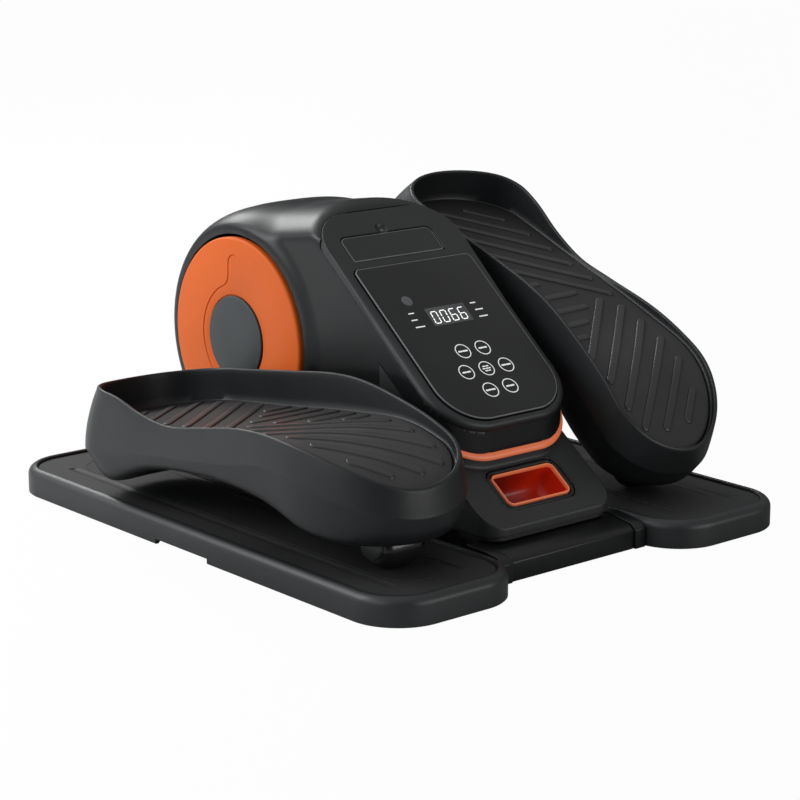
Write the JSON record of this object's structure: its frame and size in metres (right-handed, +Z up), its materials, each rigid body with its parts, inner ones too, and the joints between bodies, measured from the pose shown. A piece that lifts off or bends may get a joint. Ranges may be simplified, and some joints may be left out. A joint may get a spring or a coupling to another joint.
{
  "type": "pedal exerciser",
  "caption": "Under-desk strider: two foot pedals on a motor-driven crank roll on a floor frame, with a sloping touch console and a carry handle.",
  "frame": {"origin": "centre of the footprint at floor level", "axes": "+Z up, +Y towards the toe end, -Y towards the seated user, -X the user's left pedal"},
  "size_m": [0.4052, 0.47, 0.238],
  "materials": {
    "body_plastic": "charcoal black moulded ABS, fine satin texture",
    "pedal_plastic": "charcoal moulded plastic, satin with soft sheen",
    "footbed": "black moulded footbed with raised grip ribs",
    "orange_plastic": "orange satin plastic",
    "well_plastic": "deep red-orange plastic",
    "hub_plastic": "slate grey satin plastic",
    "panel_gloss": "black printed touch panel, semi gloss",
    "lens_plastic": "smoked infrared lens",
    "rubber": "black rubber",
    "steel": "zinc-plated steel",
    "motor_steel": "motor can, dark grey",
    "board": "green circuit board"
  },
  "bodies": {
    "base": {"left_base_plate": "body_plastic", "left_track": "body_plastic", "left_front_inner_foot": "rubber", "left_front_outer_foot": "rubber", "left_rear_inner_foot": "rubber", "left_rear_outer_foot": "rubber", "left_bar_collar": "body_plastic", "left_bearing": "steel", "right_base_plate": "body_plastic", "right_track": "body_plastic", "right_front_inner_foot": "rubber", "right_front_outer_foot": "rubber", "right_rear_inner_foot": "rubber", "right_rear_outer_foot": "rubber", "right_bar_collar": "body_plastic", "right_bearing": "steel", "front_cross_bar": "body_plastic", "rear_cross_bar": "body_plastic", "chassis_frame": "steel", "motor": "motor_steel", "drive_belt": "rubber", "housing_shell": "body_plastic", "console_bezel": "body_plastic", "control_panel": "panel_gloss", "display_module": "panel_gloss", "sensor_lens": "lens_plastic", "control_board": "board", "remote_tray": "body_plastic", "console_trim_band": "orange_plastic", "pedestal_cover": "body_plastic", "handle_rim": "orange_plastic", "handle_well": "well_plastic", "power_inlet": "body_plastic", "power_board": "board"},
    "crank": {"crank_shaft": "steel", "drive_pulley": "body_plastic", "left_crank_disc": "orange_plastic", "left_hub_cap": "hub_plastic", "right_crank_disc": "orange_plastic", "right_hub_cap": "hub_plastic"},
    "motor_rotor": {"motor_pulley": "body_plastic"},
    "door": {"compartment_door": "body_plastic"},
    "rocker": {"power_rocker": "rubber"},
    "left_carriage": {"left_roller_axle": "steel"},
    "left_pedal": {"left_pedal_shell": "pedal_plastic", "left_pedal_footbed": "footbed", "left_pedal_spindle": "steel", "left_roller_bracket": "steel"},
    "left_roller": {"left_heel_roller": "rubber"},
    "right_carriage": {"right_roller_axle": "steel"},
    "right_pedal": {"right_pedal_shell": "pedal_plastic", "right_pedal_footbed": "footbed", "right_pedal_spindle": "steel", "right_roller_bracket": "steel"},
    "right_roller": {"right_heel_roller": "rubber"}
  },
  "joints": [
    {"name": "crank_spin", "type": "hinge", "parent": "base", "child": "crank", "pos_m": [0, 0.103, 0.1255], "axis": [1, 0, 0], "continuous": true},
    {"name": "motor_spin", "type": "hinge", "parent": "base", "child": "motor_rotor", "pos_m": [0.014, -0.012, 0.062], "axis": [1, 0, 0], "continuous": true},
    {"name": "left_stroke", "type": "slide", "parent": "base", "child": "left_carriage", "axis": [0, 1, 0], "range_m": [-0.039, 0.0732]},
    {"name": "left_tilt", "type": "hinge", "parent": "left_carriage", "child": "left_pedal", "pos_m": [-0.137, -0.16606, 0.035], "axis": [1, 0, 0], "range_deg": [0, 26.4]},
    {"name": "left_roller_spin", "type": "hinge", "parent": "left_carriage", "child": "left_roller", "pos_m": [-0.137, -0.16606, 0.035], "axis": [1, 0, 0], "range_deg": [-282, 151]},
    {"name": "right_stroke", "type": "slide", "parent": "base", "child": "right_carriage", "axis": [0, 1, 0], "range_m": [-0.0732, 0.039]},
    {"name": "right_tilt", "type": "hinge", "parent": "right_carriage", "child": "right_pedal", "pos_m": [0.137, -0.1319, 0.035], "axis": [1, 0, 0], "range_deg": [-26.4, 0]},
    {"name": "right_roller_spin", "type": "hinge", "parent": "right_carriage", "child": "right_roller", "pos_m": [0.137, -0.1319, 0.035], "axis": [1, 0, 0], "range_deg": [-151, 282]},
    {"name": "door_hinge", "type": "hinge", "parent": "base", "child": "door", "pos_m": [0, -0.01508, 0.2007], "axis": [1, 0, 0], "range_deg": [0, 75]},
    {"name": "rocker_tilt", "type": "hinge", "parent": "base", "child": "rocker", "pos_m": [0.02, 0.1775, 0.058], "axis": [1, 0, 0], "range_deg": [0, 14]}
  ],
  "couplings": [
    {"joint": "motor_spin", "follows": "crank_spin", "ratio": 4.7692},
    {"joint": "right_stroke", "follows": "left_stroke", "ratio": -1},
    {"joint": "right_tilt", "follows": "left_tilt", "ratio": -1},
    {"joint": "left_roller_spin", "follows": "left_stroke", "rad_per_m": -66.667},
    {"joint": "right_roller_spin", "follows": "left_stroke", "rad_per_m": 66.667}
  ]
}
